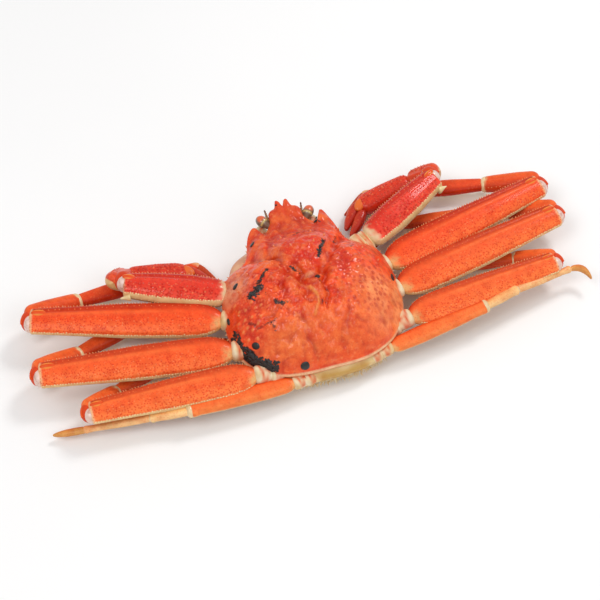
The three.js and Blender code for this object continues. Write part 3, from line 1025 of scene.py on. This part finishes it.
class Segment:
    """One limb segment: an oval body along a straight axis, wide face up."""

    def __init__(self, kind, start, axis, size, roll=0.0, bow=0.0, warmth=0.0):
        self.kind, self.start, self.axis, self.warmth = kind, np.asarray(start, float), axis, warmth
        self.length, self.width, self.thickness = size
        across = unit(np.cross((0, 0, 1), axis))
        through = np.cross(axis, across)
        self.across = turned(across, axis, roll)
        self.through = turned(through, axis, roll)
        self.bow = bow

    def end(self, share=0.97):
        """The point of the axis at a share of the length, by default where the next segment starts."""
        return self.start + self.axis * self.length * share

    def share(self, t):
        """Share of the full width at shares t of the length."""
        keys, start_cap, end_cap = SEGMENT_FORMS[self.kind]
        start_round = np.sqrt(np.clip(1 - (1 - np.clip(t / start_cap, 0, 1)) ** 2, 0.0, 1))
        end_round = np.sqrt(np.clip(1 - (1 - np.clip((1 - t) / end_cap, 0, 1)) ** 2, 0.0, 1))
        return smooth_profile(keys, t) * (0.12 + 0.88 * start_round) * (0.3 + 0.7 * end_round)

    def at(self, t, turn):
        """Points on the surface at shares t of the length. Turn 0 is the front edge, and pi / 2 the top."""
        t, turn = np.broadcast_arrays(np.asarray(t, float), np.asarray(turn, float))
        share = self.share(t)
        c, s = np.cos(turn), np.sin(turn)
        u = np.sign(c) * np.abs(c) ** (2 / SQUARENESS)
        v = np.sign(s) * np.abs(s) ** (2 / SQUARENESS)
        relief = np.zeros_like(t)
        for across, half_width, height, grow in RIDGES.get(self.kind, []):
            relief += height * hill(u, across, half_width) * smoothstep(*grow, t) * (v > 0)
        flat = u * share * self.width / 2 + self.bow * (1 - (2 * t - 1) ** 2)
        tall = v * share**0.7 * self.thickness / 2 + relief * share
        along = (t * self.length)[..., None] * self.axis
        return self.start + along + flat[..., None] * self.across + tall[..., None] * self.through

    def normal(self, t, turn):
        """The direction straight out of the surface."""
        step = 0.01
        out = self.at(t, turn) - self.at(t, turn + math.pi)
        along = self.at(t + step, turn) - self.at(t - step, turn)
        around = self.at(t, turn + step) - self.at(t, turn - step)
        normal = np.cross(around, along)
        normal /= np.linalg.norm(normal, axis=-1, keepdims=True)
        return normal * np.sign(np.sum(normal * out, axis=-1, keepdims=True))


# Shell colours of each kind of segment: top, front edge, rear part of the top.
SEGMENT_COLOURS = {
    "merus": (0xF44E1C, 0xC02C0C, 0xFC7238),
    "clawMerus": (0xE63A24, 0xC82A16, 0xEE4C34),
    "carpus": (0xEC5220, 0xD8431A, 0xF06832),
    "clawCarpus": (0xE4481F, 0xD2381A, 0xEA5A34),
    "propodus": (0xE24418, 0xC42E0C, 0xE8501E),
    "palm": (0xE03C20, 0xCC2E16, 0xE64C30),
    "finger": (0xC0301A, 0xA82010, 0xD0482A),
    "point": (0xB0300F, 0x9A220A, 0xBC4418),
    "thinMerus": (0xFA7434, 0xE8541C, 0xFA8844),
    "thinCarpus": (0xFFC67E, 0xF9A866, 0xFFD092),
    "thinPropodus": (0xF6B272, 0xF08646, 0xF6C488),
    "thinPoint": (0xDC9448, 0xCE7C34, 0xE0A45C),
}
# How high up the rear side, from -1 to 1, the cream underside reaches.
CREAM_FROM = {
    "merus": 0.34, "clawMerus": 0.66, "thinMerus": 0.1, "carpus": -0.1, "clawCarpus": 0.1,
    "thinCarpus": -0.1, "propodus": -0.5, "thinPropodus": -0.1, "palm": -0.2, "point": -1.2,
    "finger": -1.2, "thinPoint": -1.2,
}


def top_colours(segment, t, u, noise):
    """The upper side's colour: darker at the front, lighter at the rear, with painted shade along the merus'
    groove and a painted highlight along its ridge.
    """
    top, front, rear = (colour(code) for code in SEGMENT_COLOURS[segment.kind])
    top, front = mix(top, ORANGE, 0.6 * segment.warmth), mix(front, ORANGE, 0.3 * segment.warmth)
    rear = mix(rear, ORANGE, segment.warmth)
    tint = mix(top, front, smoothstep(0.25, 0.8, u))
    tint = mix(tint, rear, smoothstep(0.1, -0.7, u) * 0.85)
    tint = mix(tint, top * (0.86, 0.6, 0.5), smoothstep(0.1, 0.6, noise) * 0.35)
    if segment.kind in ("merus", "clawMerus"):
        # painted shade along the groove of the merus
        tint = mix(tint, front, hill(u, 0.62, 0.12) * smoothstep(0.2, 0.5, t) * 0.6)
        # painted highlight along the ridge of the merus
        tint = mix(tint, rear, hill(u, 0.3, 0.1) * smoothstep(0.15, 0.4, t) * 0.5)
    return tint


def end_marks(kind, t, u, noise, fine):
    """Pale bases, rims and joint rings, and the streaks of the last legs, as (colour code, amount)."""
    marks = []
    if kind in ("merus", "thinMerus"):
        base = smoothstep(0.08, 0.02, t + 0.02 * fine) * smoothstep(0.5, -0.4, u)
        marks.append((0xE7B775, base * 0.85))
    if kind == "clawMerus":
        marks.append((0xE9D9AC, smoothstep(0.1, 0.03, t + 0.03 * noise + 0.03 * fine) * 0.9))
    if kind in ("merus", "clawMerus", "thinMerus"):
        marks.append((0xF2C795, smoothstep(0.975, 0.99, t) * 0.85))
    if kind in ("carpus", "propodus", "clawCarpus"):
        marks.append((0xECB884, smoothstep(0.92, 0.98, t + 0.05 * noise - 0.04 * u) * 0.85))
    if kind in ("propodus", "palm"):
        marks.append((0xEBB88C, smoothstep(0.045, 0.015, t) * 0.9))
    if kind in ("thinCarpus", "thinPropodus", "thinPoint"):
        marks.append((0xE5682E, smoothstep(0.05, 0.5, u + 0.4 * noise) * smoothstep(0.9, 0.3, t) * 0.4))
        marks.append((0xB06A30, smoothstep(0.035, 0.015, t) * 0.6))
    return marks


def segment_colours(segment, t, turn, points, seed):
    """Orange-red above and cream below, and how grainy the shell is."""
    u, v = np.cos(turn), np.sin(turn)
    noise = lattice_noise(points, 6, seed)
    fine = lattice_noise(points, 2.2, seed + 1)
    if segment.kind == "basis":
        return basis_colours(t, u, v, noise, fine), np.zeros(len(t))
    grain = np.full(len(t), 0.35)
    if segment.kind in ("merus", "clawMerus", "palm", "clawCarpus"):
        grain = 0.25 + 0.75 * smoothstep(0.35, -0.2, u) * smoothstep(0.0, 0.15, t)
    if segment.kind == "clawMerus":
        grain = grain * (1 - smoothstep(0.1, 0.03, t + 0.03 * noise + 0.03 * fine))
    rear_limit = CREAM_FROM[segment.kind]
    limit = rear_limit + (min(rear_limit, -0.1) - rear_limit) * smoothstep(-0.2, 0.3, u)
    below = smoothstep(limit + 0.07, limit - 0.05, v + 0.05 * fine) * smoothstep(0.95, 0.6, u)
    cream = mix(CREAM, TAN, smoothstep(limit - 0.35, limit - 0.9, v) * 0.7)
    tint = mix(top_colours(segment, t, u, noise), cream, below)
    tint = painted(tint, end_marks(segment.kind, t, u, noise, fine))
    return tint * (1 + 0.1 * fine[..., None]), grain * (1 - below)


def basis_colours(t, u, v, noise, fine):
    """Cream shell with curved orange stripes."""
    tint = mix(colour(0xEFE0BC), colour(0xDDB980), np.clip(0.4 + 0.8 * noise, 0, 1))
    on_top = smoothstep(-0.4, 0.2, v)
    across = hill(t - 0.12 * u, 0.72, 0.08) * on_top + 0.8 * hill(t + 0.1 * u, 0.34, 0.06) * on_top
    along = hill(u + 0.25 * noise, -0.1, 0.2) * smoothstep(0.05, 0.3, v) * smoothstep(0.7, 0.4, t)
    stripe = np.clip(across + 0.8 * along, 0, 1)
    return painted(tint, [(0xE0561A, stripe * 0.95)]) * (1 + 0.08 * fine[..., None])


def add_segment(shape, segment, seed):
    """Adds a segment as a closed tube, with its rings closer together toward both ends."""
    along = max(14, int(segment.length / ALONG_STEP))
    around = max(18, int(1.35 * (segment.width + segment.thickness) / AROUND_STEP))
    even = np.linspace(0, 1, along)
    t = even - 0.75 * np.sin(2 * math.pi * even) / (2 * math.pi)
    turn = np.linspace(0, 2 * math.pi, around, endpoint=False)
    t, turn = np.meshgrid(t, turn, indexing="ij")
    rings = segment.at(t, turn)
    tints, grain = segment_colours(segment, t.ravel(), turn.ravel(), rings.reshape(-1, 3), seed)
    add_tube(shape, rings, tints.reshape(rings.shape), grain)


def add_row(shape, segment, span, turn, spacing, size, tints):
    """Spines or beads along a segment, with their span of its length, height and radius, and two colours."""
    height, radius = size
    for t in np.arange(*span, spacing / segment.length):
        where = t + rng.normal(0, 0.12) * spacing / segment.length
        angle = turn + rng.normal(0, 0.03)
        foot, normal = segment.at(where, angle), segment.normal(where, angle)
        rise = height * rng.uniform(0.65, 1.2)
        tip = foot + normal * rise + segment.axis * 0.35 * rise
        add_cone(shape, foot - normal * 0.15, tip, radius * rng.uniform(0.8, 1.15), *tints)


def add_rows(shape, segment, span, turns, spacing, size, tints):
    """Several such rows side by side."""
    for turn in turns:
        add_row(shape, segment, span, turn, spacing, size, tints)


def dress_merus(shape, segment):
    """The spiny front edge and the beaded pale seam of a merus."""
    orange, bead = colour(0xE0561F), colour(0xF3DCA6)
    limit = math.asin(CREAM_FROM[segment.kind])
    add_row(shape, segment, (0.05, 0.97), 0.25, 2.3, (1.2, 0.7), (orange, colour(0xF5C890)))
    add_row(shape, segment, (0.1, 0.95), 0.8, 5.0, (0.5, 0.6), (orange, colour(0xF0985C)))
    add_row(shape, segment, (0.05, 0.985), math.pi - limit, 2.1, (0.7, 0.68), (bead, bead))
    add_row(shape, segment, (0.05, 0.985), math.pi - limit * 0.2, 2.6, (0.55, 0.6), (CREAM, bead))
    if segment.kind == "clawMerus":
        turns = (1.2, 1.55, 1.85, 2.1, 2.3)
        add_rows(shape, segment, (0.16, 0.95), turns, 3.3, (0.7, 0.95), (colour(0xD5331F), ROSE))


MERUS_TOOTH_WIDTH = 27.0  # width of a merus whose tooth has the sizes given here


def merus_tooth(shape, segment):
    """The arched orange tooth on top of the end of a merus, and the cream spur at its rear corner."""
    size = segment.width / MERUS_TOOTH_WIDTH
    middle = segment.at(0.95, 1.12)

    def tooth_tint(rings):
        aside = np.abs((rings - middle) @ segment.across) / (2.3 * size)
        return mix(colour(0xE4501A), colour(0xF39A44), smoothstep(0.35, 0.8, aside))

    axes = (segment.axis * 5.5 * size, segment.across * 2.4 * size, segment.through * 1.5 * size)
    add_ball(shape, middle, axes, tooth_tint, 16, 24)
    if segment.kind == "clawMerus":
        corner = segment.at(0.94, math.pi - 0.1)
        tip = corner + segment.axis * 6.5 - segment.across * 1.8
        add_cone(shape, corner, tip, 3.0, colour(0xE9D29A), colour(0xF4E4B8), sides=14)


def skin_tint(rings):
    """Pinkish white with painted shade in its folds."""
    fold = np.abs(lattice_noise(rings.reshape(-1, 3), 4.5, 61).reshape(rings.shape[:2]))
    # painted shade along the folds
    return mix(colour(0xE9C9BC), colour(0xC98F80), smoothstep(0.14, 0.0, fold) * 0.8)


def add_knee(shell, skins, merus):
    """The pale skin that bulges from the end of a merus, in the cup at the start of its folded carpus."""
    size, aside = (1.25, 0.1) if merus.kind == "clawMerus" else (1.0, -0.08)
    width = merus.width * float(merus.share(np.array(0.95)))
    along, across, tall = 4.9 * size, width * 0.34, merus.thickness * 0.41
    centre = merus.end(1) - merus.axis * 0.5 + merus.across * aside * width
    centre = centre - merus.through * 0.05 * merus.thickness
    axes = (merus.axis * along, merus.across * across, merus.through * tall)
    add_ball(skins, centre, axes, skin_tint, rows=26, columns=34)
    cup = centre + merus.axis * 1.4 + merus.across * 3.0 - merus.through * 1.6
    axes = (merus.axis * (along + 1.0), merus.across * (across + 1.4), merus.through * tall)
    add_ball(shell, cup, axes, colour(0xD8431A), rows=22, columns=30)
    rim = []
    for angle in np.radians(np.linspace(115, -12, 15)):
        out = merus.axis * math.cos(angle) * (along + 0.7)
        out = out + merus.across * math.sin(angle) * (across + 1.4)
        rim.append(centre + out + merus.axis * 0.9 + merus.across * 1.4 + merus.through * 0.12 * tall)
    for here, after in zip(rim, rim[1:]):
        axis = unit(after - here)
        side = unit(np.cross(axis, merus.through))
        axes = (side, np.cross(side, axis) * 1.3, (after - here) * 0.85)
        add_ball(shell, (here + after) / 2, axes, colour(0xE65A22), rows=6, columns=10)


def add_wrist(skins, segment, share):
    """The pale skin ring between two segments."""
    size = segment.width * share
    axes = (segment.axis * size * 0.6, segment.across * size, segment.through * size * 0.8)
    add_ball(skins, segment.end(0.99), axes, colour(0xE9CC9C), rows=14, columns=22)


FINGER_SIZE = (27, 9.5, 9)
FINGER_SPREAD = 4.0
FINGER_BOW = 0.8


def add_fingers(shape, palm, seed):
    """The two dark red fingers that end a claw, and the orange hinge knob before them."""
    side = unit(np.cross(palm.axis, (0, 0, 1)))
    axis = unit(turned(palm.axis, np.array([0, 0, 1.0]), FINGER_BEND))
    for sign, turn in ((1, 0.0), (-1, math.pi)):
        start = palm.end() + side * FINGER_SPREAD * sign
        finger = Segment("finger", start, axis, FINGER_SIZE, bow=-FINGER_BOW * sign)
        add_segment(shape, finger, seed)
        add_row(shape, finger, (0.3, 0.9), turn, 2.4, (0.5, 0.5), (CREAM, colour(0xF2E2C0)))
    knob = palm.at(0.95, 1.7) - palm.through * 1.5
    aside = unit(np.cross((0, 0, 1), axis))
    axes = (axis * 6.5, aside * 4.2, np.cross(axis, aside) * 2.2)
    add_ball(shape, knob + axis * 1.5, axes, colour(0xE8702E), rows=18, columns=24)


WRISTS = {"carpus": 0.43, "thinMerus": 0.4, "thinCarpus": 0.4}  # joint rings, in shares of the width
COXA_LENGTH = 13
COXA_INSIDE = 9


def direction(angles):
    """A direction from its angles forward of straight outward and upward, in degrees."""
    forward, upward = (math.radians(a) for a in angles)
    level = math.cos(upward)
    return np.array([level * math.cos(forward), level * math.sin(forward), math.sin(upward)])


def dress_segment(shell, skins, segment, seed):
    """What a segment carries: its spines, and the joint to the next one or the fingers."""
    kind = segment.kind
    if kind in ("merus", "clawMerus"):
        dress_merus(shell, segment)
        merus_tooth(shell, segment)
        add_knee(shell, skins, segment)
    if kind in WRISTS:
        add_wrist(skins, segment, WRISTS[kind])
    if kind == "clawCarpus":
        add_row(shell, segment, (0.15, 0.9), 2.1, 3.2, (1.2, 0.8), (CRIMSON, PALE_ORANGE))
    if kind == "palm":
        turns = (1.0, 1.3, 1.6, 1.9, 2.2)
        add_rows(shell, segment, (0.08, 0.95), turns, 3.2, (0.9, 0.85), (CRIMSON, ROSE))
        add_fingers(shell, segment, seed)
    if kind == "carpus":
        add_row(shell, segment, (0.1, 0.92), 0.5, 3.4, (0.7, 0.6), (colour(0xE05A2A), colour(0xF2B77E)))


def build_limb(pair, side, seed):
    """One limb as if on the right: its shell and its joint skins."""
    root, basis_angles, angles = pair[side]
    shell, skins = Shape(), Shape()
    basis = Segment("basis", root, direction(basis_angles), pair["basis"])
    coxa_size = (COXA_LENGTH, basis.width * 1.15, basis.thickness * 1.1)
    coxa = Segment("basis", basis.start - basis.axis * COXA_INSIDE, basis.axis, coxa_size)
    add_segment(shell, coxa, seed + 50)
    add_segment(shell, basis, seed + 40)
    joint = basis.end(0.8)
    for order, (kind, length, *girth) in enumerate(pair["segments"]):
        roll = MERUS_ROLL if order == 0 else 0.0
        bow = LAST_LEG_HOOK if kind == "thinPoint" and side == "right" else 0.0
        size = (length - bow, *girth)
        segment = Segment(kind, joint, direction(angles[order]), size, roll, bow, pair.get("warmth", 0.0))
        add_segment(shell, segment, seed + 3 * order)
        dress_segment(shell, skins, segment, seed + 9)
        joint = segment.end()
        if order == 0 and "knee" in pair:
            outward, forward = pair["knee"]
            joint = joint + segment.axis * outward + unit(np.cross((0, 0, 1), segment.axis)) * forward
    return shell, skins


def make_limbs(shell_look, claw_look, skin_look):
    """All ten limbs. The left ones are built as if on the right and mirrored."""
    for number, (pair, name) in enumerate(zip(LIMB_PAIRS, PAIR_NAMES)):
        for side in ("right", "left"):
            shell, skins = build_limb(pair, side, 100 + 20 * number + (side == "left"))
            if side == "left":
                shell, skins = shell.mirror(), skins.mirror()
            look = claw_look if name == "claw" else shell_look
            make_piece(f"{name}_{side}", shell, look)
            if skins.count:
                make_piece(f"{name}_{side}_skins", skins, skin_look)


# ---------------------------------------------------------------- head and underside
def eye_tint(rings):
    """Grey-brown, with an orange cap and a yellowish ring toward the stalk."""
    middle = rings.reshape(-1, 3).mean(0)
    axis = unit(np.subtract(EYE_TIP, EYE_ROOT))
    out = (rings - middle) / (EYE_WIDTH / 2)
    along, up = out @ axis, out[..., 2]
    tint = mix(colour(0x4A4038), colour(0x7A6650), smoothstep(-0.4, 0.6, up))
    tint = mix(tint, colour(0xE0602A), smoothstep(0.45, 0.8, up) * smoothstep(-0.5, 0.1, along))
    return mix(tint, colour(0xD9C070), hill(along, -0.55, 0.13) * smoothstep(-0.2, 0.3, up))


def make_eyes(eye_look, shell_look):
    """The eyes, their stalks and the blocks that the stalks stand on."""
    balls, stalks = Shape(), Shape()
    root, tip = np.array(EYE_ROOT), np.array(EYE_TIP)
    axis = unit(tip - root)
    across = unit(np.cross((0, 0, 1), axis))
    up = np.cross(axis, across)
    radius = EYE_WIDTH / 2
    axes = (across * radius, up * radius, axis * radius * 1.25)
    add_ball(balls, tip - axis * radius * 1.1, axes, eye_tint, 26, 36)
    add_ball(stalks, mix(root, tip, 0.45), (axis * 6.5, across * 3.0, up * 2.9), colour(0x6E4A34))
    block = Segment("basis", root + (4, -4, -9), unit((0.35, 0.9, 0.1)), (15, 9, 8))
    add_segment(stalks, block, 12)
    make_piece("eyes", balls.both_sides(), eye_look)
    make_piece("eye_stalks", stalks.both_sides(), shell_look)


def make_feelers(look):
    """The two stubby antennae beside the rostrum, each of a few rings."""
    shape = Shape()
    axis = unit(FEELER_DIRECTION)
    side = unit(np.cross(axis, (1, 0, 0)))
    for ring in range(FEELER_RINGS):
        radius = 1.7 - 0.16 * ring
        axes = (side * radius, np.cross(axis, side) * radius, axis * 1.4)
        tint = mix(colour(0xC99A62), colour(0x6A3A1C), ring / (FEELER_RINGS - 1))
        add_ball(shape, FEELER_ROOT + axis * 1.9 * ring, axes, tint, 8, 12)
    make_piece("feelers", shape.both_sides(), look)


def make_mouth(look):
    """The flat outer mouth plates under the front of the carapace."""
    shape = Shape()
    out = np.array([1.0, 0, 0])
    for start, end, width in MOUTH_PLATES:
        reach = np.subtract(end, start)
        size = (np.linalg.norm(reach), width, MOUTH_PLATE_THICKNESS)
        plate = Segment("basis", start, unit(reach), size)
        plate.across, plate.through = out, np.cross(out, plate.axis)
        add_segment(shape, plate, 31)
    make_piece("mouth_plates", shape.both_sides(), look)


def make_belly(look):
    """The narrow tail flap folded under the body, plate by plate, and the breast plates beside it."""
    shape = Shape()
    for y, width, length in FLAP_PLATES:
        lift = 1.6 if y > -56 else 6.0
        start = (0, y - length * 0.55, lift)
        plate = Segment("basis", start, np.array([0, 1.0, 0]), (length * 1.15, width, FLAP_THICKNESS))
        add_segment(shape, plate, 41)
    for side in (-1, 1):
        for y, reach in BREAST_PLATES:
            centre = (side * (10 + reach * 0.45), y, 1.9)
            axes = ((reach * 0.52, side * 2.5, 0), (-side * 1.2, 8.2, 0), (0, 0, 1.7))
            add_ball(shape, centre, axes, colour(0xE8CD9E), 14, 26)
    make_piece("belly_plates", shape, look)


def make_fringe(look):
    """The pale yellow hairs that hang from the rear wall under the carapace's rim."""
    shape = Shape()
    heights = edge_height(*WALL.T)
    first, last = FRINGE_BEARINGS
    for i in np.flatnonzero((np.degrees(ANGLES) > first) & (np.degrees(ANGLES) < last)):
        out = unit([*(WALL[i] - MIDDLE), 0])
        for level in FRINGE_LEVELS:
            foot = np.array([*(WALL[i] - out[:2]), heights[i] * level]) + rng.normal(0, 0.5, 3)
            length = rng.uniform(*HAIR_LENGTH)
            tip = foot + length * (out * rng.uniform(0.35, 0.9) + rng.normal(0, 0.15, 3) - (0, 0, 0.75))
            tint = mix(colour(0xD6AC62), colour(0xF3DDAA), rng.uniform())
            add_cone(shape, foot, tip, rng.uniform(0.25, 0.5), tint * 0.92, tint, sides=4)
    make_piece("rear_fringe", shape, look)


# ---------------------------------------------------------------- studio
CAMERA_AZIMUTH = -16.0
CAMERA_ELEVATION = 55.0
CAMERA_DISTANCE = 1.25
CAMERA_FIELD = 2 * math.atan(0.1875)  # half the picture's width over the distance to it
LOOK_AT = (np.array([-8.0, 0.0, 24.0]) + SHIFT) * MM
FLOOR_REACH = 6.0
WORLD_COLOUR = (1.0, 0.99, 0.985, 1)
WORLD_STRENGTH = 0.55
# Soft lamps, in metres and watts: (name, place, size, power).
LAMPS = [
    ("key", (0.9, 0.5, 1.38), 0.4, 8.4),
    ("left", (-0.8, -0.35, 1.5), 0.8, 8.0),
    ("front", (0.5, -1.0, 1.2), 0.8, 3.6),
]


def make_camera():
    """The camera, in the photograph's direction."""
    data = bpy.data.cameras.new("camera")
    data.angle = CAMERA_FIELD
    camera = put("camera", data)
    azimuth, elevation = math.radians(CAMERA_AZIMUTH), math.radians(CAMERA_ELEVATION)
    level = math.cos(elevation)
    view = np.array([-math.sin(azimuth) * level, math.cos(azimuth) * level, -math.sin(elevation)])
    camera.location = LOOK_AT - view * CAMERA_DISTANCE
    camera.rotation_euler = (math.pi / 2 - elevation, 0, azimuth)
    bpy.context.scene.camera = camera


def make_lamp(name, place, size, power):
    """A square lamp that shines at the middle of the floor."""
    data = bpy.data.lights.new(name, "AREA")
    data.size, data.energy = size, power
    lamp = put(name, data)
    lamp.location = place
    x, y, z = place
    lamp.rotation_euler = (math.acos(z / np.linalg.norm(place)), 0, math.atan2(x, -y))


def floor_material():
    """Matt white with a very faint unevenness."""
    material, nodes, links, shader = new_material("floor")
    where = nodes.new("ShaderNodeTexCoord").outputs["Object"]
    shade = ramp_node(nodes, links, noise_node(nodes, links, where, FLOOR_SCALE), 0.3, 0.7, 0.93, 0.955)
    grey = nodes.new("ShaderNodeCombineColor")
    for channel in ("Red", "Green", "Blue"):
        links.new(shade, grey.inputs[channel])
    links.new(grey.outputs["Color"], shader.inputs["Base Color"])
    shader.inputs["Roughness"].default_value = 0.7
    return material


def make_studio():
    """The floor, the even light all round and the lamps."""
    mesh = bpy.data.meshes.new("floor")
    corners = [(x * FLOOR_REACH, y * FLOOR_REACH, 0) for x, y in ((-1, -1), (1, -1), (1, 1), (-1, 1))]
    mesh.from_pydata(corners, [], [(0, 1, 2, 3)])
    mesh.materials.append(floor_material())
    put("floor", mesh)
    world = bpy.data.worlds.new("studio")
    world.use_nodes = True
    background = world.node_tree.nodes["Background"]
    background.inputs["Color"].default_value = WORLD_COLOUR
    background.inputs["Strength"].default_value = WORLD_STRENGTH
    bpy.context.scene.world = world
    bpy.context.scene.view_settings.view_transform = "Standard"
    for lamp in LAMPS:
        make_lamp(*lamp)


make_camera()
make_studio()
shell_look = shell_material("boiled_shell", dot_scale=640, dot_reach=0.00022, roughness=0.44, coat=0.1)
claw_look = shell_material("claw_shell", dot_scale=470, dot_reach=0.0008, roughness=0.38, coat=0.28)
carapace_look = shell_material("carapace_shell", dot_scale=640, dot_reach=0.0003, roughness=0.46, coat=0.5)
pale_look = soft_material("pale_shell", roughness=0.5, coat=0.1, scale=260, strength=0.4)
skin_look = soft_material("joint_skin", roughness=0.32, coat=0.5, scale=200, strength=0.3)
eye_look = soft_material("eye", roughness=0.2, coat=0.8, scale=400, strength=0.1)
growth_look = soft_material("black_growth", roughness=0.35, coat=0.4, scale=700, strength=0.5)
make_carapace(carapace_look)
make_growths(growth_look)
make_limbs(shell_look, claw_look, skin_look)
make_eyes(eye_look, pale_look)
make_feelers(pale_look)
make_mouth(pale_look)
make_belly(pale_look)
make_fringe(pale_look)
